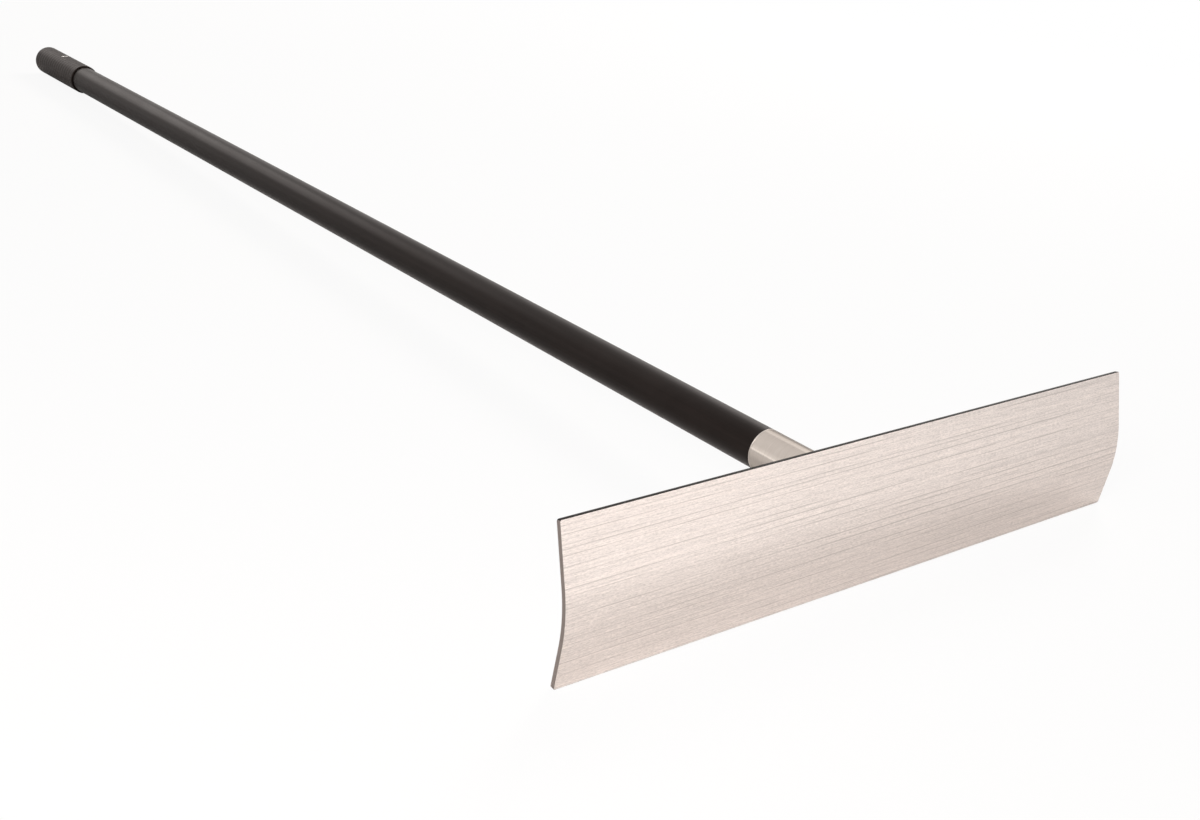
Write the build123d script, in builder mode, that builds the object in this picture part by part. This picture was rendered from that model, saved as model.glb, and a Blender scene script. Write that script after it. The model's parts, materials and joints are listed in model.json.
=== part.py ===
from build123d import *
import os
from math import asin, atan2, cos, degrees, isclose, radians, sin, sqrt

# Concrete placer: a bent aluminium blade on a long tube handle.
# X runs along the blade, +Y from the blade to the grip, +Z up. The tool lies on the ground on the
# blade's lower edge and the end of the grip, and the origin is on the ground under its middle.

# Blade: one strip of sheet with a wide bend along its length, hollow towards the user
blade_length = 508.0
sheet = 3.2
upper_leaf = 38.6
lower_leaf = 27.8
bend_radius = 100.0  # to the front face
upper_rake = 14.0  # lean of each leaf from square to the handle, in degrees
lower_rake = 8.0
corner_radius = 1.5
edge_break = 0.35

# Handle tube, and the socket whose spigot carries it
tube_od = 31.0
tube_wall = 2.0
tube_length = 1378.0
socket_reach = 107.0  # from the blade's back to the tube
socket_bore = 20.0
spigot_length = 70.0
spigot_clearance = 0.05
turned_chamfer = 0.3
weld_leg = 6.0

# Blind rivets through tube and spigot, on the underside
rivet_count = 2
rivet_first = 20.0  # from the tube's end
rivet_pitch = 30.0
rivet_diameter = 4.0
rivet_clearance = 0.1
rivet_head_diameter = 8.0
rivet_head_height = 1.1
rivet_bulb_diameter = 5.6
rivet_bulb_length = 3.6
mandrel_diameter = 2.2
mandrel_clearance = 0.05
mandrel_recess = 0.4
mandrel_head_diameter = 3.4
mandrel_head_length = 1.8

# Grip pushed over the tube's end, and the plug under it
grip_wall = 1.8
grip_length = 129.0
grip_end_wall = 3.0
grip_end_chamfer = 1.2
grip_lip_chamfer = 0.6
grip_clearance = 0.05
plug_flange = 2.5
plug_flange_setback = 0.6
plug_depth = 24.0
plug_clearance = 0.05
plug_rib_count = 2
plug_rib_pitch = 12.0
plug_rib_width = 3.0
plug_rib_height = 1.0

# Eyelet through grip and tube, clinched over a washer: the hole that the tool hangs by
eyelet_bore = 5.5
eyelet_wall = 0.6
eyelet_clearance = 0.1
eyelet_setback = 62.0  # from the grip's end
eyelet_flange = 0.8
eyelet_flange_diameter = 8.8
eyelet_edge_chamfer = 0.3
eyelet_seat_margin = 0.3
eyelet_bed = 0.3  # of grip wall left under the flange and the washer, which sink their rims below its round
clinch = 0.5
clinch_diameter = 7.4
washer_thickness = 0.4

# Radii, and stations along the handle counted from the blade's back
tube_radius = tube_od / 2
tube_bore_radius = tube_radius - tube_wall
spigot_radius = tube_bore_radius - spigot_clearance
tube_end = socket_reach + tube_length
rivet_radius = rivet_diameter / 2
rivet_stations = [socket_reach + rivet_first + i * rivet_pitch for i in range(rivet_count)]
grip_bore_radius = tube_radius + grip_clearance
grip_radius = grip_bore_radius + grip_wall
grip_floor = tube_end + plug_flange
grip_end = grip_floor + grip_end_wall
grip_start = grip_end - grip_length
eyelet_station = grip_end - eyelet_setback
eyelet_radius = eyelet_bore / 2 + eyelet_wall
eyelet_hole_radius = eyelet_radius + eyelet_clearance
eyelet_seat_radius = eyelet_flange_diameter / 2 + eyelet_seat_margin
eyelet_seat = grip_bore_radius + eyelet_bed
eyelet_top = eyelet_seat + eyelet_flange
washer_foot = -eyelet_seat - washer_thickness
eyelet_foot = washer_foot - clinch

# Centre of the bend, along and above the handle axis, which meets the blade at half its height
rise = bend_radius * sin(radians(upper_rake)) + upper_leaf * cos(radians(upper_rake))
drop = bend_radius * sin(radians(lower_rake)) + lower_leaf * cos(radians(lower_rake))
back_radius = bend_radius - sheet
bend_up = (drop - rise) / 2
bend_along = sqrt(back_radius**2 - bend_up**2)

# Rest pose: the handle falls towards the grip until the blade's lower edge and the grip's end both touch
edge_along = bend_along - bend_radius * cos(radians(lower_rake)) + lower_leaf * sin(radians(lower_rake))
edge_up = bend_up - drop
heel_along = grip_end - grip_end_chamfer
tilt = atan2(-edge_up - grip_radius, heel_along - edge_along)
front_reach = bend_along * cos(tilt) + bend_up * sin(tilt) - bend_radius
far_reach = grip_end * cos(tilt) + (grip_radius - grip_end_chamfer) * sin(tilt)

# Working planes: side has the handle to the right and up upwards, across is square to the handle
along = Vector(0, cos(tilt), -sin(tilt))
up = Vector(0, sin(tilt), cos(tilt))
blade_back = Vector(0, -(front_reach + far_reach) / 2, edge_along * sin(tilt) - edge_up * cos(tilt))
side = Plane(origin=blade_back, x_dir=along, z_dir=(1, 0, 0))
across = Plane(origin=blade_back, x_dir=(-1, 0, 0), z_dir=along)
handle_axis = Axis(blade_back, along)
square_to_back = Plane(origin=blade_back, x_dir=along * bend_along + up * bend_up, z_dir=(1, 0, 0))


def side_at(station):
    """Side plane moved along the handle to a station."""
    return Plane(origin=blade_back + along * station, x_dir=along, z_dir=(1, 0, 0))


def facing(station, direction):
    """Plane on the handle axis at a station, looking out square to the handle."""
    return Plane(origin=blade_back + along * station, x_dir=(1, 0, 0), z_dir=direction)


def cross_axis(station):
    """Axis that crosses the handle at a station, from below to above."""
    return Axis(blade_back + along * station, up)


# Blade, cut from strip, bent once, with its corners rounded and its edges deburred
with BuildPart() as blade:
    with BuildSketch(side):
        with BuildLine():
            bend = CenterArc((bend_along, bend_up), bend_radius, 180 - upper_rake, upper_rake + lower_rake)
            PolarLine(bend @ 0, upper_leaf, direction=(bend % 0) * -1)
            PolarLine(bend @ 1, lower_leaf, direction=bend % 1)
            offset(amount=sheet, side=Side.LEFT)
        make_face()
    extrude(amount=blade_length / 2, both=True)
    ends = blade.faces().filter_by(Axis.X)
    fillet([edge for end in ends for edge in end.edges().sort_by(Edge.length)[:2]], corner_radius)
    leaves_and_bend = 6  # three faces at the front and three at the back
    rim = blade.faces().sort_by(SortBy.AREA)[:-leaves_and_bend]
    rim_edges = [edge for face in rim for edge in face.edges()]
    chamfer([edge for edge in rim_edges if not isclose(edge.length, sheet, rel_tol=1e-6)], edge_break)
blade.part.label = "blade"

# Space in front of the blade's hollow back, which copes the socket and its weld
with BuildSketch(side) as ahead_of_back:
    with BuildLine():
        back = CenterArc((bend_along, bend_up), back_radius, 180 - upper_rake, upper_rake + lower_rake)
        top_line = PolarLine(back @ 0, upper_leaf, direction=(back % 0) * -1)
        bottom_line = PolarLine(back @ 1, lower_leaf, direction=back % 1)
        Polyline(top_line @ 1, (-tube_od, -edge_up), (-tube_od, edge_up), bottom_line @ 1)
    make_face()

# Socket, turned from thick tube: coped to the blade at one end, a spigot for the handle at the other
with BuildPart() as socket:
    with BuildSketch(side):
        with BuildLine():
            Polyline(
                (-tube_radius, socket_bore / 2),
                (-tube_radius, tube_radius),
                (socket_reach, tube_radius),
                (socket_reach, spigot_radius),
                (socket_reach + spigot_length, spigot_radius),
                (socket_reach + spigot_length, socket_bore / 2),
                close=True,
            )
        make_face()
    revolve(axis=handle_axis)
    extrude(ahead_of_back.sketch, amount=tube_od, both=True, mode=Mode.SUBTRACT)
    shoulder, spigot_end = socket.edges().filter_by(GeomType.CIRCLE).group_by(handle_axis)[-2:]
    chamfer([ring.sort_by(Edge.length)[-1] for ring in (shoulder, spigot_end)], turned_chamfer)
    for station in rivet_stations:
        with BuildSketch(facing(station, -up)):
            Circle(rivet_radius + rivet_clearance)
        extrude(amount=tube_radius, mode=Mode.SUBTRACT)
socket.part.label = "socket"

# Fillet weld round the socket: a cone square to the blade's hollow back, cut by the back and the socket
with BuildPart() as socket_weld:
    with BuildSketch(square_to_back):
        with BuildLine():
            Polyline(
                (-weld_leg, 0),
                (-weld_leg, tube_radius + 2 * weld_leg),
                (tube_radius + weld_leg, 0),
                close=True,
            )
        make_face()
    revolve(axis=Axis(blade_back, square_to_back.x_dir))
    extrude(ahead_of_back.sketch, amount=tube_od, both=True, mode=Mode.SUBTRACT)
    with BuildSketch(across.offset(-tube_od)):
        Circle(tube_radius)
    extrude(amount=2 * tube_od, mode=Mode.SUBTRACT)
socket_weld.part.label = "socket_weld"

# Handle tube, butted on the socket's shoulder
with BuildPart() as handle_tube:
    with BuildSketch(across.offset(socket_reach)):
        Circle(tube_radius)
        Circle(tube_bore_radius, mode=Mode.SUBTRACT)
    extrude(amount=tube_length)
    butt_end = handle_tube.edges().filter_by(GeomType.CIRCLE).group_by(handle_axis)[0]
    chamfer(butt_end.sort_by(Edge.length)[-1], turned_chamfer)
    for station in rivet_stations:
        with BuildSketch(facing(station, -up)):
            Circle(rivet_radius + rivet_clearance)
        extrude(amount=tube_od, mode=Mode.SUBTRACT)
    with BuildSketch(facing(eyelet_station, up)):
        Circle(eyelet_hole_radius)
    extrude(amount=tube_od, both=True, mode=Mode.SUBTRACT)
handle_tube.part.label = "handle_tube"

# Blind rivets: domed head on the tube's underside, bulb set against the inside of the spigot
rivet_bulb_seat = -sqrt((socket_bore / 2) ** 2 - (rivet_bulb_diameter / 2) ** 2)
rivet_bulb_top = rivet_bulb_seat + rivet_bulb_length
mandrel_hole = mandrel_diameter / 2 + mandrel_clearance
dome_radius = ((rivet_head_diameter / 2) ** 2 + rivet_head_height**2) / (2 * rivet_head_height)
dome_centre = dome_radius - rivet_head_height - tube_radius
dome_start = degrees(asin(mandrel_hole / dome_radius))
dome_sweep = degrees(asin(rivet_head_diameter / 2 / dome_radius)) - dome_start
with BuildPart() as joint_rivets:
    for station in rivet_stations:
        with BuildSketch(side_at(station)):
            with BuildLine():
                dome = CenterArc((0, dome_centre), dome_radius, -90 + dome_start, dome_sweep)
                Polyline(
                    dome @ 1,
                    (rivet_radius, -tube_radius),
                    (rivet_radius, rivet_bulb_seat),
                    (rivet_bulb_diameter / 2, rivet_bulb_seat),
                    (rivet_bulb_diameter / 2, rivet_bulb_top),
                    (mandrel_hole, rivet_bulb_top),
                    dome @ 0,
                )
            make_face()
        revolve(axis=cross_axis(station))
joint_rivets.part.label = "joint_rivets"

# Steel mandrels left in the rivets, snapped off just inside the heads
with BuildPart() as rivet_mandrels:
    for station in rivet_stations:
        with BuildSketch(side_at(station)):
            with BuildLine():
                Polyline(
                    (0, mandrel_recess - tube_radius - rivet_head_height),
                    (mandrel_diameter / 2, mandrel_recess - tube_radius - rivet_head_height),
                    (mandrel_diameter / 2, rivet_bulb_top),
                    (mandrel_head_diameter / 2, rivet_bulb_top),
                    (mandrel_head_diameter / 2, rivet_bulb_top + mandrel_head_length),
                    (0, rivet_bulb_top + mandrel_head_length),
                    close=True,
                )
            make_face()
        revolve(axis=cross_axis(station))
rivet_mandrels.part.label = "rivet_mandrels"

# Plug in the tube's end: ribs that grip the bore, and a flange over the cut edge
with BuildPart() as end_plug:
    with BuildSketch(across.offset(tube_end - plug_depth)):
        Circle(tube_bore_radius - plug_clearance - plug_rib_height)
    extrude(amount=plug_depth)
    for i in range(plug_rib_count):
        with BuildSketch(across.offset(tube_end - plug_depth + i * plug_rib_pitch)):
            Circle(tube_bore_radius - plug_clearance)
        extrude(amount=plug_rib_width)
    with BuildSketch(across.offset(tube_end)):
        Circle(tube_radius - plug_flange_setback)
    extrude(amount=plug_flange)
end_plug.part.label = "end_plug"

# Grip: a closed sleeve over the tube, with flats for the eyelet and its washer
with BuildPart() as grip:
    with BuildSketch(across.offset(grip_start)):
        Circle(grip_radius)
    extrude(amount=grip_length)
    lip, heel = grip.edges().filter_by(GeomType.CIRCLE).sort_by(handle_axis)
    chamfer(lip, grip_lip_chamfer)
    chamfer(heel, grip_end_chamfer)
    with BuildSketch(across.offset(grip_start)):
        Circle(grip_bore_radius)
    extrude(amount=grip_floor - grip_start, mode=Mode.SUBTRACT)
    with BuildSketch(facing(eyelet_station, up)):
        Circle(eyelet_hole_radius)
    extrude(amount=grip_radius, both=True, mode=Mode.SUBTRACT)
    for outward in (up, -up):
        with BuildSketch(facing(eyelet_station, outward).offset(eyelet_seat)):
            Circle(eyelet_seat_radius)
        extrude(amount=grip_wall, mode=Mode.SUBTRACT)
grip.part.label = "grip"

# Eyelet: a flanged barrel from the top, its lower end pressed out flat over the washer
with BuildPart() as hang_eyelet:
    with BuildSketch(side_at(eyelet_station)) as eyelet_section:
        with BuildLine():
            Polyline(
                (eyelet_bore / 2, eyelet_top),
                (eyelet_flange_diameter / 2, eyelet_top),
                (eyelet_flange_diameter / 2, eyelet_seat),
                (eyelet_radius, eyelet_seat),
                (eyelet_radius, washer_foot),
                (clinch_diameter / 2, washer_foot),
                (clinch_diameter / 2, eyelet_foot),
                (eyelet_bore / 2, eyelet_foot),
                close=True,
            )
        make_face()
        chamfer(eyelet_section.vertices().group_by(Axis.Y)[-1], eyelet_edge_chamfer)
    revolve(axis=cross_axis(eyelet_station))
hang_eyelet.part.label = "hang_eyelet"

# Washer under the clinch
with BuildPart() as eyelet_washer:
    with BuildSketch(facing(eyelet_station, -up).offset(eyelet_seat)):
        Circle(eyelet_flange_diameter / 2)
        Circle(eyelet_hole_radius, mode=Mode.SUBTRACT)
    extrude(amount=washer_thickness)
eyelet_washer.part.label = "eyelet_washer"

os.makedirs("parts", exist_ok=True)
pieces = (
    blade,
    socket,
    socket_weld,
    handle_tube,
    joint_rivets,
    rivet_mandrels,
    end_plug,
    grip,
    hang_eyelet,
    eyelet_washer,
)
for piece in pieces:
    export_step(piece.part, f"parts/{piece.part.label}.step")
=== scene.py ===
import json
import math

import bmesh
import bpy
from mathutils import Matrix, Vector


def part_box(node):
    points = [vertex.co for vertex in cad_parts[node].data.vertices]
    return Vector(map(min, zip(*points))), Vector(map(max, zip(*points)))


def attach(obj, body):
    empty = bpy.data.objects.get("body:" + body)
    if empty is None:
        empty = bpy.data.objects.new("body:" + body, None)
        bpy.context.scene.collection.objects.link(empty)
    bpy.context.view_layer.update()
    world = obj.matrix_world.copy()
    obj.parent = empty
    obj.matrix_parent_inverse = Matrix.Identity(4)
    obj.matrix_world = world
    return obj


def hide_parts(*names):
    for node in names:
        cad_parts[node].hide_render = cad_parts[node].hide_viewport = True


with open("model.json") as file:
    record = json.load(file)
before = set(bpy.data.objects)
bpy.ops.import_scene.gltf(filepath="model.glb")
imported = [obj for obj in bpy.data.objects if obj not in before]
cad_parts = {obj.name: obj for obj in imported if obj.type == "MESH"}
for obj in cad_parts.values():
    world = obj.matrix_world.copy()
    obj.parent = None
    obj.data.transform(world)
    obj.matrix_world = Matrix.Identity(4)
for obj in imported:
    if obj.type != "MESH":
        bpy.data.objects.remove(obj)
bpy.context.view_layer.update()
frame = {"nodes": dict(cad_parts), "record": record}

# Blade: one strip of aluminium sheet, brushed along its length, slit and sheared to size, with its
# corners rounded and its edges deburred. A brake bends it once over a large radius, so that its
# front bulges forwards. It has no holes: the socket is welded to its back.
sheet = 0.0032
upper_leaf = 0.0386
lower_leaf = 0.0278
bend_radius = 0.100  # of the front face
upper_rake = math.radians(14)
lower_rake = math.radians(8)
corner_radius = 0.0015
corner_steps = 5
deburr = 0.0004
deburr_steps = 4
side_rows = 48
slit_shade_mark = 1
sheared_mark = 2
tolerance = 1e-6

lowest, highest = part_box("blade")
half_length = (highest.x - lowest.x) / 2
bend_arc = bend_radius * (upper_rake + lower_rake)
strip_width = upper_leaf + bend_arc + lower_leaf
# The handle's axis meets the back at half the blade's height.
back_radius = bend_radius - sheet
rise = bend_radius * math.sin(upper_rake) + upper_leaf * math.cos(upper_rake)
drop = bend_radius * math.sin(lower_rake) + lower_leaf * math.cos(lower_rake)
bend_up = (drop - rise) / 2
bend_along = math.sqrt(back_radius**2 - bend_up**2)


def quarter_turn(steps):
    return [step / steps * math.pi / 2 for step in range(steps + 1)]


def strip_outline(inset):
    """The flat strip's outline drawn in by an inset: down its right side, then up its left side."""
    corner = quarter_turn(corner_steps)
    turn = corner_radius - inset
    middle = half_length - corner_radius
    base = strip_width - corner_radius
    right = [(middle + turn * math.sin(a), corner_radius - turn * math.cos(a)) for a in corner]
    for row in range(1, side_rows):
        right.append((half_length - inset, corner_radius + (base - corner_radius) * row / side_rows))
    right += [(middle + turn * math.cos(a), base + turn * math.sin(a)) for a in corner]
    return right + [(-x, run) for x, run in reversed(right)]


def outward_mesh(name, build):
    """The mesh of a bmesh that is done with, its faces turned outwards."""
    bmesh.ops.recalc_face_normals(build, faces=build.faces)
    mesh = bpy.data.meshes.new(name)
    build.to_mesh(mesh)
    build.free()
    return mesh


flat = bmesh.new()
cut = flat.faces.layers.int.new("cut")
edge_turns = quarter_turn(deburr_steps)
section = [(deburr * (1 - math.sin(a)), deburr * (1 - math.cos(a))) for a in edge_turns]
section += [(inset, sheet - depth) for inset, depth in reversed(section)]
rings = []
for inset, depth in section:
    rings.append([flat.verts.new((x, run, depth)) for x, run in strip_outline(inset)])
points = len(rings[0])
for step, (ring, next_ring) in enumerate(zip(rings, rings[1:])):
    for i in range(points):
        j = (i + 1) % points
        side = flat.faces.new((ring[i], ring[j], next_ring[j], next_ring[i]))
        # The brushing goes over the outer band of each rounded edge, except along the front's top,
        # which takes the slit edges' near-black: painted shade for the dark line along the edge, not
        # the aluminium's own colour.
        at_top = max(ring[i].co.y, ring[j].co.y) < deburr + tolerance
        brushed_over = step == len(rings) - 2 or (step == 0 and not at_top)
        if not brushed_over:
            at_end = min(abs(ring[i].co.x), abs(ring[j].co.x)) > half_length - deburr
            side[cut] = sheared_mark if at_end else slit_shade_mark
for ring in (rings[0], rings[-1]):
    for i in range(points // 2 - 1):
        flat.faces.new((ring[i], ring[i + 1], ring[points - 2 - i], ring[points - 1 - i]))
    for i in range(points):
        flat.edges.get((ring[i], ring[(i + 1) % points])).smooth = False
for face in flat.faces:
    face.smooth = True
flat_strip = outward_mesh("flat_strip", flat)


def add_node(tree, kind, inputs=None, **settings):
    """A node with its settings made, and each input linked to a socket or given a value."""
    made = tree.nodes.new(kind)
    for name, value in settings.items():
        setattr(made, name, value)
    for key, value in (inputs or {}).items():
        if isinstance(value, bpy.types.NodeSocket):
            tree.links.new(value, made.inputs[key])
        else:
            made.inputs[key].default_value = value
    return made


def result(tree, kind, inputs=None, **settings):
    """The first output of a new node."""
    return add_node(tree, kind, inputs, **settings).outputs[0]


def calc(tree, operation, *terms):
    """The result of one Math node."""
    return result(tree, "ShaderNodeMath", dict(enumerate(terms)), operation=operation)


def vector_of(tree, *parts):
    return result(tree, "ShaderNodeCombineXYZ", dict(enumerate(parts)))


def new_tree(name, kind, inputs, outputs):
    """An empty node group with named sockets, its inputs by name, and its output node."""
    tree = bpy.data.node_groups.new(name, kind)
    for direction, sockets in (("INPUT", inputs), ("OUTPUT", outputs)):
        for label, data in sockets.items():
            tree.interface.new_socket(label, in_out=direction, socket_type="NodeSocket" + data)
    return tree, tree.nodes.new("NodeGroupInput").outputs, tree.nodes.new("NodeGroupOutput")


def made_real(tree, shape, material):
    """A shape with its instances made real and one material on all its faces."""
    shape = result(tree, "GeometryNodeRealizeInstances", {0: shape})
    return result(tree, "GeometryNodeSetMaterial", {"Geometry": shape, "Material": material})


# The brake leaves the strip straight before and after the bend, and rolls the rest about a centre
# behind it. Directions are measured from the handle's own, turning upwards.
bend_sizes = {
    "Upper Leaf": upper_leaf,
    "Bend Radius": bend_radius,
    "Bend Arc": bend_arc,
    "First Direction": math.pi - upper_rake,
}
brake, group_in, group_out = new_tree(
    "brake_bend",
    "GeometryNodeTree",
    {"Strip": "Geometry"}
    | dict.fromkeys(bend_sizes, "Float")
    | {"Centre": "Vector", "Face": "Material", "Shaded Slit Edge": "Material", "Sheared End": "Material"},
    {"Blade": "Geometry"},
)
place = result(brake, "GeometryNodeInputPosition")
across, run, depth = add_node(brake, "ShaderNodeSeparateXYZ", {0: place}).outputs
past = calc(brake, "SUBTRACT", run, group_in["Upper Leaf"])
rolled = calc(brake, "MINIMUM", calc(brake, "MAXIMUM", past, 0), group_in["Bend Arc"])
straight = calc(brake, "SUBTRACT", past, rolled)
turned = calc(brake, "DIVIDE", rolled, group_in["Bend Radius"])
direction = calc(brake, "ADD", group_in["First Direction"], turned)
cosine = calc(brake, "COSINE", direction)
sine = calc(brake, "SINE", direction)
radius = calc(brake, "SUBTRACT", group_in["Bend Radius"], depth)
station = calc(brake, "MULTIPLY", radius, cosine)
station = calc(brake, "SUBTRACT", station, calc(brake, "MULTIPLY", straight, sine))
height = calc(brake, "MULTIPLY", radius, sine)
height = calc(brake, "ADD", height, calc(brake, "MULTIPLY", straight, cosine))
from_centre = {0: vector_of(brake, across, station, height), 1: group_in["Centre"]}
bent = result(brake, "ShaderNodeVectorMath", from_centre, operation="ADD")
# The depth tells the back from the front, and the brushing follows the strip as it was when flat.
kept = {"Geometry": group_in["Strip"], "Name": "depth", "Value": depth}
shape = result(brake, "GeometryNodeStoreNamedAttribute", kept, data_type="FLOAT")
kept = {"Geometry": shape, "Name": "flat", "Value": place}
shape = result(brake, "GeometryNodeStoreNamedAttribute", kept, data_type="FLOAT2", domain="CORNER")
shape = result(brake, "GeometryNodeSetPosition", {"Geometry": shape, "Position": bent})
shape = made_real(brake, shape, group_in["Face"])
mark = result(brake, "GeometryNodeInputNamedAttribute", {"Name": "cut"}, data_type="INT")
# Marked slit edges take the near-black painted shade; sheared ends take their own dull metal.
for number, label in ((slit_shade_mark, "Shaded Slit Edge"), (sheared_mark, "Sheared End")):
    same = {2: mark, 3: number}
    chosen = result(brake, "FunctionNodeCompare", same, data_type="INT", operation="EQUAL")
    finish = {"Geometry": shape, "Selection": chosen, "Material": group_in[label]}
    shape = result(brake, "GeometryNodeSetMaterial", finish)
brake.links.new(shape, group_out.inputs[0])


def noise(tree, vector, detail, roughness=0.5, dimensions="3D"):
    settings = {"Vector": vector, "Scale": 1.0, "Detail": detail, "Roughness": roughness}
    return add_node(tree, "ShaderNodeTexNoise", settings, noise_dimensions=dimensions).outputs["Fac"]


def scaled(tree, vector, scale):
    return result(tree, "ShaderNodeVectorMath", {0: vector, 1: scale}, operation="MULTIPLY")


def remap(tree, value, low, high, to_low, to_high):
    """Takes a value smoothly from one range to another, held at its ends."""
    spans = {"Value": value, 1: low, 2: high, 3: to_low, 4: to_high}
    made = add_node(tree, "ShaderNodeMapRange", spans, interpolation_type="SMOOTHSTEP")
    return made.outputs["Result"]


def spread(tree, grain, low, high):
    """Takes a noise, most of which lies between 0.3 and 0.7, to a range."""
    return remap(tree, grain, 0.3, 0.7, low, high)


def blend_colours(tree, factor, first, second):
    ends = {"Factor": factor, 6: first, 7: second}
    return add_node(tree, "ShaderNodeMix", ends, data_type="RGBA").outputs[2]


# Brushing, for the brushed and turned metals: straight lines along the first axis of the vector,
# dashes in the same direction, a short grain, hairlines, and a few thin scratches. Sizes are in
# metres, on the metal's flat surface.
mark_roughness = 0.8
scratch_rows = 0.42  # to the width of one mark
scratch_edge = 0.12
scratch_fade = (0.34, 0.68)
brushing, group_in, group_out = new_tree(
    "brushing",
    "ShaderNodeTree",
    {"Vector": "Vector", "Stroke": "Float", "Dash": "Float", "Pitch": "Float"},
    {"Lines": "Float", "Dashes": "Float", "Grain": "Float", "Hairs": "Float", "Scratches": "Float"},
)
# Each mark has the input that gives its length, its share of that, its width in pitches, and the
# detail of its noise.
for label, length, share, width, detail in (
    ("Lines", "Stroke", 1.0, 0.75, 2),
    ("Dashes", "Dash", 1.0, 0.4, 1),
    ("Grain", "Pitch", 1.0, 0.20, 2),
    ("Hairs", "Stroke", 0.04, 0.12, 1),
    ("Scratches", "Stroke", 0.1, 0.7, 1),
):
    stroke = calc(brushing, "DIVIDE", 1 / share, group_in[length])
    fineness = calc(brushing, "DIVIDE", 1 / width, group_in["Pitch"])
    drawn = scaled(brushing, group_in["Vector"], vector_of(brushing, stroke, fineness, 0))
    marks = noise(brushing, drawn, detail, mark_roughness, "2D")
    if label == "Scratches":
        # Thin rows at uneven distances, which fade in and out along their length.
        across = add_node(brushing, "ShaderNodeSeparateXYZ", {0: drawn}).outputs["Y"]
        rows = add_node(
            brushing,
            "ShaderNodeTexVoronoi",
            {"W": across, "Scale": scratch_rows},
            voronoi_dimensions="1D",
            feature="DISTANCE_TO_EDGE",
        )
        thin = remap(brushing, rows.outputs["Distance"], 0, scratch_edge, 1, 0)
        marks = calc(brushing, "MULTIPLY", thin, remap(brushing, marks, *scratch_fade, 0, 1))
    brushing.links.new(marks, group_out.inputs[label])


def new_material(name, **constants):
    """A material with one Principled BSDF, its plain values set on the shader's own sockets."""
    material = bpy.data.materials.new(name)
    material.use_nodes = True
    shader = material.node_tree.nodes["Principled BSDF"]
    for label, value in constants.items():
        shader.inputs[label.replace("_", " ")].default_value = value
    return material, material.node_tree, shader.inputs


def set_bump(tree, shader, height, distance):
    raised = {"Height": height, "Distance": distance, "Strength": 1.0}
    tree.links.new(result(tree, "ShaderNodeBump", raised), shader["Normal"])


def object_vector(tree):
    return add_node(tree, "ShaderNodeTexCoord").outputs["Object"]


mounts = {mount["name"]: mount for mount in frame["record"]["mounts"]}
along = Vector(mounts["grip_sleeve"]["axis"]).normalized()
handle_tilt = math.atan2(along.z, along.y)
socket_reach = 0.107
bare_tube = mounts["tube_clip"]["dims"]["length_mm"] / 1000
blade_back = Vector(mounts["tube_clip"]["pos_m"]) - along * (socket_reach + bare_tube / 2)
# The handle frame has X across the blade, Y along the handle from the blade's back, and Z upwards.
handle_frame = Matrix.Translation(blade_back) @ Matrix.Rotation(handle_tilt, 4, "X")


def handle_vector(tree):
    """Object coordinates in the handle frame, in metres."""
    turned = {"Vector": object_vector(tree), "Location": blade_back, "Rotation": (handle_tilt, 0, 0)}
    return result(tree, "ShaderNodeMapping", turned, vector_type="TEXTURE")


def distance_from_axis(tree, vector):
    """How far a place in the handle frame is from the handle's axis."""
    flat_vector = scaled(tree, vector, (1, 0, 1))
    length = add_node(tree, "ShaderNodeVectorMath", {0: flat_vector}, operation="LENGTH")
    return length.outputs["Value"]


mark_weights = {"Lines": 0.28, "Dashes": 0.20, "Grain": 0.52, "Hairs": 0.20}
cloud_weight = 0.08
tone_range = (0.385, 0.885)
scratch_weight = 0.75
dark_line = (0.58, 0.539, 0.515, 1)
bright_line = (0.98, 0.912, 0.872, 1)
scratch_colour = (0.45, 0.41, 0.388, 1)
frost_colour = (0.72, 0.69, 0.66, 1)
frost_inner = 0.024
frost_outer = 0.031
frost_waver = 0.006
frost_roughness = 0.2

brushed_face, tree, shader = new_material(
    "brushed_face", Metallic=1.0, Anisotropic=0.75, Anisotropic_Rotation=0.25
)
grain_way = result(tree, "ShaderNodeTangent", direction_type="UV_MAP", uv_map="flat")
tree.links.new(grain_way, shader["Tangent"])
on_strip = result(tree, "ShaderNodeUVMap", uv_map="flat")
drawn = {"Vector": on_strip, "Stroke": 1.2, "Dash": 0.014, "Pitch": 0.0026}
brushed = add_node(tree, "ShaderNodeGroup", drawn, node_tree=brushing).outputs
clouds = noise(tree, scaled(tree, object_vector(tree), (5, 16, 16)), 3)
tone = calc(tree, "MULTIPLY", clouds, cloud_weight)
for label, weight in mark_weights.items():
    tone = calc(tree, "MULTIPLY_ADD", brushed[label], weight, tone)
tone = remap(tree, tone, *tone_range, 0, 1)
colour = blend_colours(tree, tone, dark_line, bright_line)
worn = calc(tree, "MULTIPLY", brushed["Scratches"], scratch_weight)
colour = blend_colours(tree, worn, colour, scratch_colour)
# A frosted band, cleaned for the weld, runs round the bead on the back.
from_axis = distance_from_axis(tree, handle_vector(tree))
from_axis = calc(tree, "MULTIPLY_ADD", clouds, frost_waver, from_axis)
frosted = remap(tree, from_axis, frost_inner, frost_outer, 1, 0)
depth = add_node(tree, "ShaderNodeAttribute", attribute_name="depth").outputs["Fac"]
on_back = remap(tree, depth, 0.4 * sheet, 0.6 * sheet, 0, 1)
frosted = calc(tree, "MULTIPLY", frosted, on_back)
tree.links.new(blend_colours(tree, frosted, colour, frost_colour), shader["Base Color"])
roughness = spread(tree, brushed["Lines"], 0.36, 0.48)
roughness = calc(tree, "MULTIPLY_ADD", frosted, frost_roughness, roughness)
tree.links.new(roughness, shader["Roughness"])
height = calc(tree, "SUBTRACT", brushed["Dashes"], brushed["Scratches"])
set_bump(tree, shader, height, 0.000012)


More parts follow.
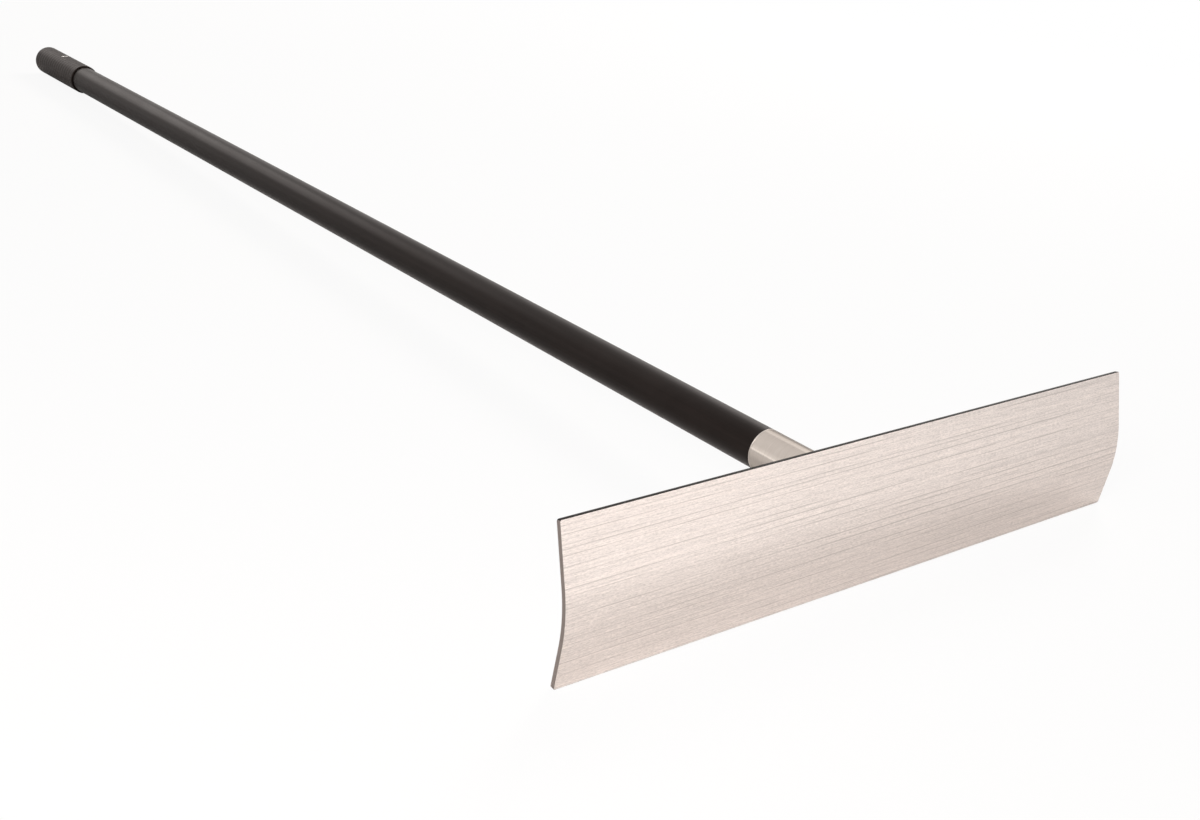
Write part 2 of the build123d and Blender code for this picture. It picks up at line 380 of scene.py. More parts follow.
def grained_material(
    name, fineness, dark, light, roughness, relief, detail=3, harshness=0.5, **constants
):
    """A material with one noise all over it, which sets its colour, roughness and relief."""
    material, tree, shader = new_material(name, **constants)
    grain = noise(tree, scaled(tree, object_vector(tree), fineness), detail, harshness)
    tree.links.new(blend_colours(tree, grain, dark, light), shader["Base Color"])
    tree.links.new(spread(tree, grain, *roughness), shader["Roughness"])
    set_bump(tree, shader, grain, relief)
    return material


# Slit edges: a near-black, barely glossy paint on the aluminium. It is painted shade for the dark line
# along the cut edges.
slit_edge_shade = grained_material(
    "slit_edge_shade",
    fineness=(40, 1600, 1600),
    dark=(0.006, 0.0051, 0.0048, 1),
    light=(0.017, 0.0144, 0.0136, 1),
    roughness=(0.5, 0.7),
    relief=0.00006,
    Specular_IOR_Level=0.12,
)
sheared_end = grained_material(
    "sheared_end",
    fineness=(300, 1200, 300),
    dark=(0.19, 0.168, 0.157, 1),
    light=(0.29, 0.257, 0.24, 1),
    roughness=(0.35, 0.55),
    relief=0.00006,
    Metallic=1.0,
)


def new_object(name, data):
    made = bpy.data.objects.new(name, data)
    bpy.context.scene.collection.objects.link(made)
    return made


def formed_piece(name, start, tree, sizes):
    """A piece whose mesh is what a geometry tree makes of the start mesh, set in the handle frame."""
    piece = new_object(name, start)
    modifier = piece.modifiers.new("form", "NODES")
    modifier.node_group = tree
    for item in tree.interface.items_tree:
        if item.in_out == "INPUT" and item.name in sizes:
            modifier[item.identifier] = sizes[item.name]
    shaped = piece.evaluated_get(bpy.context.evaluated_depsgraph_get())
    piece.data = bpy.data.meshes.new_from_object(shaped)
    piece.modifiers.remove(modifier)
    piece.data.transform(handle_frame)
    return piece


blade = formed_piece(
    "brushed_blade",
    flat_strip,
    brake,
    bend_sizes
    | {"Centre": (0, bend_along, bend_up)}
    | {"Face": brushed_face, "Shaded Slit Edge": slit_edge_shade, "Sheared End": sheared_end},
)
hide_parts("blade")
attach(blade, "root")

# Socket: turned from aluminium bar to the tube's diameter, bored through, its front end coped to
# the blade's hollow back. A spigot behind the shoulder goes into the tube.
tube_radius = mounts["tube_clip"]["dims"]["r_mm"] / 1000
tube_wall = 0.002
spigot_clearance = 0.00005
spigot_radius = tube_radius - tube_wall - spigot_clearance
spigot_length = 0.070
spigot_bevel = 0.0005
spigot_end = socket_reach + spigot_length
socket_bore = 0.010
shoulder_round = 0.0004


def back_station(height):
    """How far along the handle the blade's back is, at a height above the handle's axis."""
    bend_top = bend_up + back_radius * math.sin(upper_rake)
    bend_foot = bend_up - back_radius * math.sin(lower_rake)
    held = min(max(height, bend_foot), bend_top)
    rake = upper_rake if height > held else lower_rake
    on_bend = bend_along - math.sqrt(back_radius**2 - (held - bend_up) ** 2)
    return on_bend + abs(height - held) * math.tan(rake)


def coped(radius, offset=0.0):
    """Stations on the blade's back round a circle, by the angle round the handle."""
    return lambda angle: back_station(radius * math.sin(angle)) + offset


def rounded(station, radius, size, first, last, steps=5):
    """Rows of an arc round (station, radius), by degrees turned from outwards towards the grip."""
    turns = [math.radians(first + (last - first) * i / steps) for i in range(steps + 1)]
    return [(station + size * math.sin(a), radius + size * math.cos(a)) for a in turns]


def turned_mesh(name, rows, sides, closed=True):
    """A section of (station, radius) rows turned round the handle's axis. One that isn't closed starts
    and ends on the axis."""
    lathe = bmesh.new()
    rings = []
    for station, radius in rows:
        ring = []
        for i in range(sides):
            a = 2 * math.pi * i / sides
            y = station(a) if callable(station) else station
            ring.append(lathe.verts.new((radius * math.cos(a), y, radius * math.sin(a))))
        rings.append(ring)
    if closed:
        rings.append(rings[0])
    for ring, next_ring in zip(rings, rings[1:]):
        for i in range(sides):
            j = (i + 1) % sides
            lathe.faces.new((ring[i], ring[j], next_ring[j], next_ring[i]))
    bmesh.ops.remove_doubles(lathe, verts=lathe.verts, dist=1e-7)
    mesh = outward_mesh(name, lathe)
    mesh.shade_smooth()
    mesh.set_sharp_from_angle(angle=math.radians(30))
    return mesh


def placed_piece(name, mesh, material):
    """A piece from a mesh that is in the handle frame."""
    mesh.transform(handle_frame)
    mesh.materials.append(material)
    return new_object(name, mesh)


def mean(tree, first, second):
    return calc(tree, "MULTIPLY_ADD", first, 0.5, calc(tree, "MULTIPLY", second, 0.5))


dull_turning = (0.525, 0.483, 0.442, 1)
bright_turning = (0.585, 0.543, 0.502, 1)

satin_socket, tree, shader = new_material(
    "satin_socket", Metallic=1.0, Specular_Tint=(0.45, 0.44, 0.43, 1.0)
)
x, station, z = add_node(tree, "ShaderNodeSeparateXYZ", {0: handle_vector(tree)}).outputs
angle = calc(tree, "ARCTAN2", calc(tree, "ABSOLUTE", x), z)
# The tool drew its marks round the bar.
drawn = {
    "Vector": vector_of(tree, calc(tree, "MULTIPLY", angle, tube_radius), station, 0),
    "Stroke": 0.08,
    "Dash": 0.008,
    "Pitch": 0.0012,
}
turned = add_node(tree, "ShaderNodeGroup", drawn, node_tree=brushing).outputs
tone = spread(tree, mean(tree, turned["Lines"], turned["Dashes"]), 0, 1)
tree.links.new(blend_colours(tree, tone, dull_turning, bright_turning), shader["Base Color"])
tree.links.new(spread(tree, turned["Lines"], 0.15, 0.21), shader["Roughness"])
set_bump(tree, shader, turned["Lines"], 0.000003)

section = [(coped(socket_bore), socket_bore), (coped(tube_radius), tube_radius)]
section += rounded(socket_reach - shoulder_round, tube_radius - shoulder_round, shoulder_round, 0, 90)
section += [(socket_reach, spigot_radius), (spigot_end - spigot_bevel, spigot_radius)]
section += [(spigot_end, spigot_radius - spigot_bevel), (spigot_end, socket_bore)]
socket_mesh = turned_mesh("turned_socket", section, sides=144)
socket = placed_piece("turned_socket", socket_mesh, satin_socket)
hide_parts("socket")
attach(socket, "root")

# Weld: a hand-laid aluminium fillet bead that runs once round the socket and holds it to the
# blade's back. Each dip of the filler rod left one ripple.
bead_leg = 0.0052
bead_crown = 0.0004
bead_rows = 12
ripples = 46
ripple_sides = 12
ripple_depth = 0.0003
ripple_lag = 0.4  # of a ripple, from the bead's middle to its feet
foot = tube_radius + bead_leg


def bead_row(share):
    """One row of the bead's face, by its share of the way from the blade to the socket."""
    crown = bead_crown * 4 * share * (1 - share) / math.sqrt(2)
    on_blade = coped(foot)
    on_socket = coped(tube_radius, bead_leg)

    def station(angle):
        return on_blade(angle) * (1 - share) + on_socket(angle) * share + crown

    return station, foot * (1 - share) + tube_radius * share + crown


section = [(coped(tube_radius), tube_radius)]
section += [bead_row(row / bead_rows) for row in range(bead_rows + 1)]
plain_bead = turned_mesh("plain_bead", section, sides=ripple_sides * ripples)

ripple_sizes = {
    "Foot Radius": foot,
    "Leg": bead_leg,
    "Ripples": float(ripples),
    "Ripple Depth": ripple_depth,
    "Ripple Lag": ripple_lag,
}
ripple_tree, group_in, group_out = new_tree(
    "weld_ripples",
    "GeometryNodeTree",
    {"Bead": "Geometry"} | dict.fromkeys(ripple_sizes, "Float") | {"Finish": "Material"},
    {"Weld": "Geometry"},
)
place = result(ripple_tree, "GeometryNodeInputPosition")
x, _, z = add_node(ripple_tree, "ShaderNodeSeparateXYZ", {0: place}).outputs
from_axis = distance_from_axis(ripple_tree, place)
share = calc(ripple_tree, "SUBTRACT", group_in["Foot Radius"], from_axis)
share = calc(ripple_tree, "DIVIDE", share, group_in["Leg"])
swell = calc(ripple_tree, "SINE", calc(ripple_tree, "MULTIPLY", share, math.pi))
angle = calc(ripple_tree, "DIVIDE", calc(ripple_tree, "ARCTAN2", z, x), 2 * math.pi)
lag = calc(ripple_tree, "MULTIPLY", swell, group_in["Ripple Lag"])
phase = calc(ripple_tree, "MULTIPLY_ADD", angle, group_in["Ripples"], lag)
scallop = calc(ripple_tree, "SINE", calc(ripple_tree, "MULTIPLY", phase, math.pi))
valley = calc(ripple_tree, "SUBTRACT", calc(ripple_tree, "ABSOLUTE", scallop), 1)
valley = calc(ripple_tree, "MULTIPLY", valley, swell)
sunk = calc(ripple_tree, "MULTIPLY", valley, group_in["Ripple Depth"])
outward = {0: result(ripple_tree, "GeometryNodeInputNormal"), "Scale": sunk}
offset = result(ripple_tree, "ShaderNodeVectorMath", outward, operation="SCALE")
moved = {"Geometry": group_in["Bead"], "Offset": offset}
shape = result(ripple_tree, "GeometryNodeSetPosition", moved)
shape = made_real(ripple_tree, shape, group_in["Finish"])
ripple_tree.links.new(shape, group_out.inputs[0])

dark_weld = (0.36, 0.345, 0.33, 1)
light_weld = (0.50, 0.485, 0.465, 1)
soot_colour = (0.22, 0.207, 0.194, 1)

weld_metal, tree, shader = new_material("weld_metal", Metallic=1.0)
frost = noise(tree, scaled(tree, object_vector(tree), (900, 900, 900)), 4, 0.6)
patches = noise(tree, scaled(tree, object_vector(tree), (120, 120, 120)), 3)
soot = remap(tree, patches, 0.5, 0.75, 0, 0.5)
colour = blend_colours(tree, frost, dark_weld, light_weld)
tree.links.new(blend_colours(tree, soot, colour, soot_colour), shader["Base Color"])
tree.links.new(spread(tree, frost, 0.30, 0.50), shader["Roughness"])
set_bump(tree, shader, frost, 0.00006)

weld = formed_piece("weld_bead", plain_bead, ripple_tree, ripple_sizes | {"Finish": weld_metal})
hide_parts("socket_weld")
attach(weld, "root")

# Handle tube: drawn aluminium tube with a baked satin black coating, sawn to length after coating,
# so that its chamfered ends are bare. It is pushed over the spigot up to the shoulder.
blotch_fineness = 0.02  # of the grain's
blotch_range = (0.35, 0.65)
# The coating, also for the blacked and moulded pieces: a fine grain of one size, and wide blotches.
coating, group_in, group_out = new_tree(
    "coating_texture",
    "ShaderNodeTree",
    {"Vector": "Vector", "Size": "Float"},
    {"Height": "Float", "Blotches": "Float"},
)
fineness = calc(coating, "DIVIDE", 1, group_in["Size"])
close = scaled(coating, group_in["Vector"], vector_of(coating, fineness, fineness, fineness))
coating.links.new(noise(coating, close, 3, 0.55), group_out.inputs["Height"])
wide = scaled(coating, close, (blotch_fineness, blotch_fineness, blotch_fineness))
coating.links.new(noise(coating, wide, 4, 0.6), group_out.inputs["Blotches"])

dark_coat = (0.0068, 0.0052, 0.0047, 1)
light_coat = (0.0110, 0.0084, 0.0076, 1)
bare_metal = (0.60, 0.565, 0.53, 1)
bare_rim = 0.0005
bare_fade = 0.0002

black_coat, tree, shader = new_material(
    "black_coat", Specular_IOR_Level=0.12, Specular_Tint=(1.0, 0.82, 0.76, 1.0)
)
vector = handle_vector(tree)
station = add_node(tree, "ShaderNodeSeparateXYZ", {0: vector}).outputs["Y"]
coat = {"Vector": vector, "Size": 0.0009}
grain = add_node(tree, "ShaderNodeGroup", coat, node_tree=coating).outputs
drawn = noise(tree, scaled(tree, vector, (700, 6, 700)), 3)
tone = mean(tree, grain["Blotches"], drawn)
colour = blend_colours(tree, remap(tree, tone, *blotch_range, 0, 1), dark_coat, light_coat)
rim_end = socket_reach + bare_rim
bare = remap(tree, station, rim_end, rim_end + bare_fade, 1, 0)
tree.links.new(blend_colours(tree, bare, colour, bare_metal), shader["Base Color"])
tree.links.new(bare, shader["Metallic"])
tree.links.new(spread(tree, tone, 0.30, 0.38), shader["Roughness"])
set_bump(tree, shader, grain["Height"], 0.00001)


def paint_node(name, material):
    """Gives one material to a CAD piece that keeps its mesh."""
    slots = frame["nodes"][name].data.materials
    slots.clear()
    slots.append(material)


paint_node("handle_tube", black_coat)

# Rivets: two aluminium blind rivets, set from below through the tube and the spigot and blacked to
# match. Each has a domed head on the tube's underside and a bulb pulled up inside the spigot.
rivet_count = 2
rivet_setback = 0.020  # from the socket's shoulder
rivet_pitch = 0.030
rivet_radius = 0.002
head_radius = 0.004
head_height = 0.0011
head_lip = 0.0002
bulb_radius = 0.0028
bulb_height = 0.0036
bulb_bevel = 0.0006
bulb_seat = -math.sqrt(socket_bore**2 - bulb_radius**2)
bulb_top = bulb_seat + bulb_height
stem_hole = 0.00115
head_face = -tube_radius - head_height
dome_rise = head_height - head_lip
dome_radius = (head_radius**2 + dome_rise**2) / (2 * dome_rise)
dome_first = math.degrees(math.asin(stem_hole / dome_radius)) - 90
dome_last = math.degrees(math.asin(head_radius / dome_radius)) - 90

section = rounded(head_face + dome_radius, 0, dome_radius, dome_first, dome_last, steps=12)
section += [(-tube_radius, head_radius), (-tube_radius, rivet_radius), (bulb_seat, rivet_radius)]
section += [(bulb_seat, bulb_radius), (bulb_top - bulb_bevel, bulb_radius)]
section += [(bulb_top, bulb_radius - bulb_bevel), (bulb_top, stem_hole)]
one_rivet = turned_mesh("one_rivet", section, sides=64)
upright = Matrix.Rotation(math.radians(90), 4, "X")  # takes the handle's direction upwards
one_rivet.transform(upright)

row_tree, group_in, group_out = new_tree(
    "rivet_row",
    "GeometryNodeTree",
    {"Piece": "Geometry", "Count": "Int", "First": "Float", "Pitch": "Float", "Finish": "Material"},
    {"Row": "Geometry"},
)
line = {
    "Count": group_in["Count"],
    "Start Location": vector_of(row_tree, 0, group_in["First"], 0),
    "Offset": vector_of(row_tree, 0, group_in["Pitch"], 0),
}
stations = result(row_tree, "GeometryNodeMeshLine", line, mode="OFFSET")
repeated = {"Points": stations, "Instance": group_in["Piece"]}
shape = result(row_tree, "GeometryNodeInstanceOnPoints", repeated)
shape = made_real(row_tree, shape, group_in["Finish"])
row_tree.links.new(shape, group_out.inputs[0])


def coated_material(name, vector_in, size, dark, light, roughness, relief, **constants):
    """A material with the coating's texture, its grain of one size in metres."""
    material, tree, shader = new_material(name, **constants)
    coat = {"Vector": vector_in(tree), "Size": size}
    grain = add_node(tree, "ShaderNodeGroup", coat, node_tree=coating).outputs
    tone = remap(tree, grain["Blotches"], *blotch_range, 0, 1)
    tree.links.new(blend_colours(tree, tone, dark, light), shader["Base Color"])
    tree.links.new(spread(tree, grain["Height"], *roughness), shader["Roughness"])
    set_bump(tree, shader, grain["Height"], relief)
    return material


black_rivet = coated_material(
    "black_rivet",
    object_vector,
    size=0.0003,
    dark=(0.012, 0.0105, 0.010, 1),
    light=(0.024, 0.021, 0.020, 1),
    roughness=(0.32, 0.46),
    relief=0.00002,
    Specular_IOR_Level=0.3,
)

row_sizes = {"Count": rivet_count, "First": socket_reach + rivet_setback, "Pitch": rivet_pitch}
rivets = formed_piece("blind_rivets", one_rivet, row_tree, row_sizes | {"Finish": black_rivet})
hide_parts("joint_rivets")
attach(rivets, "root")

# Rivet stems: the steel stems that the riveting tool pulled and snapped off, dull zinc with a torn
# end just inside each head. Their own heads hold the bulbs open.
stem_radius = 0.0011
stem_sunk = 0.0004
stem_face = head_face + stem_sunk
stem_head_radius = 0.0017
stem_head_length = 0.0018
stem_head_end = bulb_top + stem_head_length
stem_head_round = 0.001
tear_hollow = 0.00015
tear_slope = 0.0001
tear_edge = 0.0003

section = [(stem_face + tear_hollow, 0), (stem_face, 0.5 * stem_radius)]
section += [(stem_face + tear_slope, 0.85 * stem_radius), (stem_face + tear_edge, stem_radius)]
section += [(bulb_top, stem_radius), (bulb_top, stem_head_radius)]
section += rounded(
    stem_head_end - stem_head_round, stem_head_radius - stem_head_round, stem_head_round, 0, 90
)
section += [(stem_head_end, 0)]
one_stem = turned_mesh("one_stem", section, sides=48, closed=False)
one_stem.transform(upright)

torn_steel = grained_material(
    "torn_steel",
    fineness=(3500, 3500, 3500),
    dark=(0.20, 0.19, 0.185, 1),
    light=(0.45, 0.44, 0.43, 1),
    roughness=(0.35, 0.6),
    relief=0.00012,
    detail=4,
    harshness=0.65,
    Metallic=1.0,
)

stems = formed_piece("rivet_stems", one_stem, row_tree, row_sizes | {"Finish": torn_steel})
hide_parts("rivet_mandrels")
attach(stems, "root")

# End plug: moulded plastic, pressed into the tube's far end, where its ribs hold it. Its flange
# covers the sawn edge, so that the tube can't cut through the grip.
plug_plastic = coated_material(
    "plug_plastic",
    object_vector,
    size=0.0007,
    dark=(0.022, 0.021, 0.021, 1),
    light=(0.034, 0.033, 0.032, 1),
    roughness=(0.45, 0.6),
    relief=0.00005,
    Specular_IOR_Level=0.4,
)
paint_node("end_plug", plug_plastic)

# Grip: a dipped vinyl sleeve with a closed end and fine rings round it, pushed over the tube's far
# end. A hole is punched across it, with a flat seat on each side for the eyelet and its washer.
grip_radius = mounts["grip_sleeve"]["dims"]["r_mm"] / 1000
grip_start = socket_reach + bare_tube
grip_length = 0.129
grip_clearance = 0.00005
grip_bore = tube_radius + grip_clearance
grip_rows = 540
grip_sides = 112
bore_depth = 0.126
mouth_bevel = 0.0003
lip_round = 0.0013
heel_round = 0.0026
ring_pitch = 0.007
ring_depth = 0.00015
ring_first = 0.004
ring_last = 0.121
ring_fade = 0.003
hole_radius = 0.00345
seat_radius = 0.0047
seat_wall = 0.0003
seat_height = grip_bore + seat_wall
eyelet_place = handle_frame.inverted() @ Vector(mounts["hang_hole"]["pos_m"])
cutter_sides = 96
cutter_room = 0.02  # by which a cutter stands out of the grip
punch_length = 0.06

sleeve_sizes = {
    "Length": grip_length,
    "Radius": grip_radius,
    "Lip Round": lip_round,
    "Heel Round": heel_round,
    "Ring Pitch": ring_pitch,
    "Ring Depth": ring_depth,
    "Ring First": ring_first,
    "Ring Last": ring_last,
    "Bore": grip_bore,
    "Bore Depth": bore_depth,
    "Mouth Bevel": mouth_bevel,
    "Hole": hole_radius,
    "Hole Station": eyelet_place.y - grip_start,
    "Seat": seat_radius,
    "Seat Height": seat_height,
    "Start": grip_start,
}
sleeve, group_in, group_out = new_tree(
    "ringed_sleeve",
    "GeometryNodeTree",
    dict.fromkeys(sleeve_sizes, "Float") | {"Finish": "Material"},
    {"Grip": "Geometry"},
)
axis = {"Start": (0, 0, 0), "End": vector_of(sleeve, 0, group_in["Length"], 0)}
line = result(sleeve, "GeometryNodeCurvePrimitiveLine", axis)
line = result(sleeve, "GeometryNodeResampleCurve", {"Curve": line, "Count": grip_rows})
station = add_node(sleeve, "GeometryNodeSplineParameter").outputs["Length"]
to_end = calc(sleeve, "SUBTRACT", group_in["Length"], station)


def drawn_in(tree, distance, size):
    """How far a rounded edge falls inside the full radius, by the distance from the piece's end."""
    short = calc(tree, "MAXIMUM", calc(tree, "SUBTRACT", size, distance), 0)
    squares = calc(tree, "MULTIPLY", size, size), calc(tree, "MULTIPLY", short, short)
    return calc(tree, "SUBTRACT", size, calc(tree, "SQRT", calc(tree, "SUBTRACT", *squares)))


turn = calc(sleeve, "DIVIDE", station, group_in["Ring Pitch"])
wave = calc(sleeve, "COSINE", calc(sleeve, "MULTIPLY", turn, 2 * math.pi))
wave = calc(sleeve, "MULTIPLY_ADD", wave, -0.5, 0.5)
full_from = calc(sleeve, "ADD", group_in["Ring First"], ring_fade)
full_to = calc(sleeve, "SUBTRACT", group_in["Ring Last"], ring_fade)
begun = remap(sleeve, station, group_in["Ring First"], full_from, 0, 1)
ended = remap(sleeve, station, full_to, group_in["Ring Last"], 1, 0)
groove = calc(sleeve, "MULTIPLY", calc(sleeve, "MULTIPLY", begun, ended), group_in["Ring Depth"])
level = calc(sleeve, "SUBTRACT", group_in["Radius"], calc(sleeve, "MULTIPLY", wave, groove))
level = calc(sleeve, "SUBTRACT", level, drawn_in(sleeve, station, group_in["Lip Round"]))
level = calc(sleeve, "SUBTRACT", level, drawn_in(sleeve, to_end, group_in["Heel Round"]))
unit_circle = {"Resolution": grip_sides, "Radius": 1.0}
circle = result(sleeve, "GeometryNodeCurvePrimitiveCircle", unit_circle)
swept = {"Curve": line, "Profile Curve": circle, "Scale": level, "Fill Caps": True}
shape = result(sleeve, "GeometryNodeCurveToMesh", swept)
shape = result(sleeve, "GeometryNodeSetShadeSmooth", {"Geometry": shape, "Shade Smooth": True})


def cutter(tree, kind, sizes, place, turn=(0, 0, 0)):
    """A cylinder or cone set in place, to be cut away."""
    made = result(tree, kind, {"Vertices": cutter_sides} | sizes)
    put = {"Geometry": made, "Translation": place, "Rotation": turn}
    return result(tree, "GeometryNodeTransform", put)


to_grip = (math.radians(-90), 0, 0)  # stands a cylinder along the handle
depth = calc(sleeve, "ADD", group_in["Bore Depth"], cutter_room)
place = vector_of(sleeve, 0, calc(sleeve, "MULTIPLY_ADD", depth, 0.5, -cutter_room), 0)
bore = {"Radius": group_in["Bore"], "Depth": depth}
cutters = [cutter(sleeve, "GeometryNodeMeshCylinder", bore, place, to_grip)]
mouth = {
    "Radius Bottom": calc(sleeve, "MULTIPLY_ADD", group_in["Mouth Bevel"], 2, group_in["Bore"]),
    "Radius Top": group_in["Bore"],
    "Depth": calc(sleeve, "MULTIPLY", group_in["Mouth Bevel"], 2),
}
place = vector_of(sleeve, 0, calc(sleeve, "MULTIPLY", group_in["Mouth Bevel"], -1), 0)
cutters.append(cutter(sleeve, "GeometryNodeMeshCone", mouth, place, to_grip))
hole = {"Radius": group_in["Hole"], "Depth": punch_length}
place = vector_of(sleeve, 0, group_in["Hole Station"], 0)
cutters.append(cutter(sleeve, "GeometryNodeMeshCylinder", hole, place))
seat = {"Radius": group_in["Seat"], "Depth": cutter_room}
seat_middle = calc(sleeve, "ADD", group_in["Seat Height"], cutter_room / 2)
for side in (1, -1):
    height = calc(sleeve, "MULTIPLY", seat_middle, side)
    place = vector_of(sleeve, 0, group_in["Hole Station"], height)
    cutters.append(cutter(sleeve, "GeometryNodeMeshCylinder", seat, place))
for tool in cutters:
    both = {"Mesh 1": shape, "Mesh 2": tool}
    shape = result(
        sleeve, "GeometryNodeMeshBoolean", both, operation="DIFFERENCE", solver="EXACT"
    )
moved = {"Geometry": shape, "Translation": vector_of(sleeve, 0, group_in["Start"], 0)}
shape = result(sleeve, "GeometryNodeTransform", moved)
shape = made_real(sleeve, shape, group_in["Finish"])
sleeve.links.new(shape, group_out.inputs[0])

grip_vinyl = coated_material(
    "grip_vinyl",
    handle_vector,
    size=0.0008,
    dark=(0.010, 0.0076, 0.0068, 1),
    light=(0.017, 0.0130, 0.0117, 1),
    roughness=(0.38, 0.50),
    relief=0.00006,
    Specular_IOR_Level=0.14,
    Specular_Tint=(1.0, 0.79, 0.72, 1.0),
)

no_start = bpy.data.meshes.new("no_start")
grip = formed_piece("ringed_grip", no_start, sleeve, sleeve_sizes | {"Finish": grip_vinyl})
grip.data.shade_smooth()
grip.data.set_sharp_from_angle(angle=math.radians(35))
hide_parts("grip")
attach(grip, "root")

# Hang eyelet: pressed from steel and bright zinc plated. Its barrel goes through grip and tube, its
# rolled flange sits in the grip's upper seat, and its lower end is spread over the washer.
eyelet_bore = mounts["hang_hole"]["dims"]["r_mm"] / 1000
eyelet_radius = 0.00335
flange_radius = 0.0044
flange_thickness = 0.0008
flange_undercut = 0.0001
mouth_round = 0.0011
rim_round = 0.0004
flange_top = seat_height + flange_thickness
washer_thickness = 0.0004
washer_foot = -seat_height - washer_thickness
clinch_radius = 0.0037
clinch_height = 0.0005
clinch_round = 0.0003
eyelet_foot = washer_foot - clinch_height

section = rounded(
    flange_top - mouth_round, eyelet_bore + mouth_round, mouth_round, 180, 90, steps=10
)
section += rounded(flange_top - rim_round, flange_radius - rim_round, rim_round, 90, 0)
section += [(seat_height, flange_radius - flange_undercut), (seat_height, eyelet_radius)]
section += [(washer_foot, eyelet_radius), (washer_foot, clinch_radius)]
section += rounded(eyelet_foot + clinch_round, clinch_radius - clinch_round, clinch_round, 0, -90)
section += [(eyelet_foot, eyelet_bore + clinch_round), (eyelet_foot + clinch_round, eyelet_bore)]
eyelet_mesh = turned_mesh("rolled_eyelet", section, sides=72)
eyelet_mesh.transform(Matrix.Translation((0, eyelet_place.y, 0)) @ upright)

bright_zinc = grained_material(
    "bright_zinc",
    fineness=(1100, 1100, 1100),
    dark=(0.48, 0.47, 0.455, 1),
    light=(0.62, 0.61, 0.595, 1),
    roughness=(0.30, 0.42),
    relief=0.00001,
    Metallic=1.0,
)
eyelet = placed_piece("rolled_eyelet", eyelet_mesh, bright_zinc)
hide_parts("hang_eyelet")
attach(eyelet, "root")

# Eyelet washer: stamped steel with the same zinc. It lies in the grip's lower seat and keeps the
# spread end of the eyelet from pulling through the vinyl.
paint_node("eyelet_washer", bright_zinc)

# Studio: a pale floor that keeps the tool's shadow, soft lamps and a white room. The room and the
# floor show white to the camera and in the metal, and light the tool at a plain level.
floor_reach = 12
fade_start = 1.0  # from the tool's middle
fade_end = 2.4
floor_mesh = bpy.data.meshes.new("floor")
corners = [(-floor_reach, -floor_reach, 0), (floor_reach, -floor_reach, 0)]
corners += [(floor_reach, floor_reach, 0), (-floor_reach, floor_reach, 0)]
floor_mesh.from_pydata(corners, [], [(0, 1, 2, 3)])
floor = new_object("floor", floor_mesh)

floor_paint, tree, shader = new_material(
    "floor_paint", Base_Color=(0.86, 0.838, 0.825, 1), Roughness=0.9, Specular_IOR_Level=0.0
)
path = add_node(tree, "ShaderNodeLightPath").outputs
# Near the tool each kind of ray finds its own share of white. Farther away the floor goes over into
# the room's white.
away = add_node(tree, "ShaderNodeVectorMath", {0: object_vector(tree)}, operation="LENGTH")
share = 0
for label, near in (("Is Camera Ray", 0.92), ("Is Glossy Ray", 0.15), ("Is Transmission Ray", 0.15)):
    plain = remap(tree, away.outputs["Value"], fade_start, fade_end, near, 1)
    share = calc(tree, "MAXIMUM", share, calc(tree, "MULTIPLY", path[label], plain))
painted = tree.nodes["Principled BSDF"].outputs[0]
white = result(tree, "ShaderNodeEmission")
mixed = result(tree, "ShaderNodeMixShader", {0: share, 1: painted, 2: white})
tree.links.new(mixed, tree.nodes["Material Output"].inputs["Surface"])
floor_mesh.materials.append(floor_paint)

warm_white = (1.0, 0.95, 0.92, 1)
room_light = 0.2
world = bpy.data.worlds.new("white_room")
world.use_nodes = True
bpy.context.scene.world = world
room_tree = world.node_tree
backdrop = room_tree.nodes["Background"].inputs
path = add_node(room_tree, "ShaderNodeLightPath").outputs
shown = calc(room_tree, "MAXIMUM", path["Is Camera Ray"], path["Is Glossy Ray"])
shown = calc(room_tree, "MAXIMUM", shown, path["Is Transmission Ray"])
tint = blend_colours(room_tree, path["Is Camera Ray"], warm_white, (1, 1, 1, 1))
room_tree.links.new(tint, backdrop["Color"])
room_tree.links.new(remap(room_tree, shown, 0, 1, room_light, 1), backdrop["Strength"])


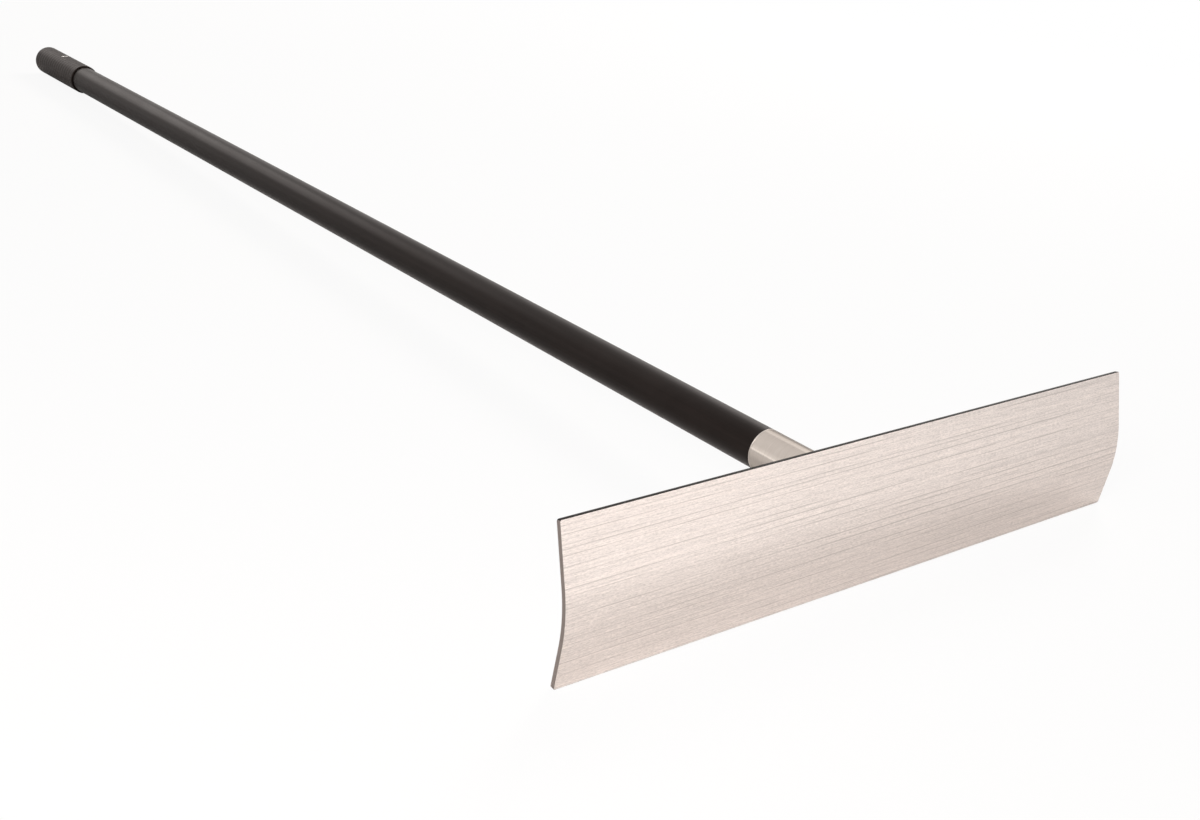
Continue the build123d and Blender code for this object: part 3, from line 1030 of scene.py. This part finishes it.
def soft_lamp(name, place, aim, width, height, power):
    """An oval lamp in its place, turned to what it is aimed at, with its power in watts."""
    lamp = bpy.data.lights.new(name, "AREA")
    lamp.shape = "ELLIPSE"
    lamp.size = width
    lamp.size_y = height
    lamp.energy = power
    lamp.color = warm_white[:3]
    stand = new_object(name, lamp)
    stand.location = place
    stand.rotation_euler = (Vector(aim) - Vector(place)).to_track_quat("-Z", "Y").to_euler()
    stand.visible_camera = False


soft_lamp("top_lamp", (-0.6, 0, 4.5), (0, 0, 0), 5.0, 5.0, 15)
soft_lamp("key_lamp", (2.3, 0.6, 1.9), (0, 0, 0), 1.2, 1.2, 57)
soft_lamp("foot_lamp", (-0.85, -1.1, 0.8), (-0.25, -0.75, 0), 0.5, 0.5, 9.5)
soft_lamp("blade_lamp", (0.9, -2.4, 0.5), (-0.1, -0.75, 0.06), 1.3, 1.1, 3.0)
soft_lamp("strip_lamp", (-2.2, 1.45, 0.20), (0, -0.68, 0.05), 2.4, 0.30, 1.0)
soft_lamp("rim_lamp", (1.6, 0.8, 1.05), (0, -0.65, 0.05), 1.2, 1.0, 1.4)
soft_lamp("glow_lamp", (-2.2, 1.45, 0.5), (0, -0.68, 0.05), 2.6, 1.0, 1.0)
soft_lamp("back_lamp", (-0.3, 3.5, 1.7), (0, 0.55, 0.03), 2.0, 1.6, 15)

# The camera's heading turns from +Y towards +X.
camera_place = (-0.71592, -1.30162, 0.48853)
heading = math.radians(40.26323)
pitch = math.radians(-23.57012)
roll = math.radians(6.46409)
camera_data = bpy.data.cameras.new("photo_camera")
camera_data.sensor_width = 36
camera_data.lens = 46.354
camera_data.clip_end = 100
camera = new_object("photo_camera", camera_data)
aimed = Matrix.Rotation(-heading, 4, "Z") @ Matrix.Rotation(math.pi / 2 + pitch, 4, "X")
aimed = aimed @ Matrix.Rotation(roll, 4, "Z")
camera.matrix_world = Matrix.Translation(camera_place) @ aimed
bpy.context.scene.camera = camera
bpy.context.scene.view_settings.view_transform = "Standard"
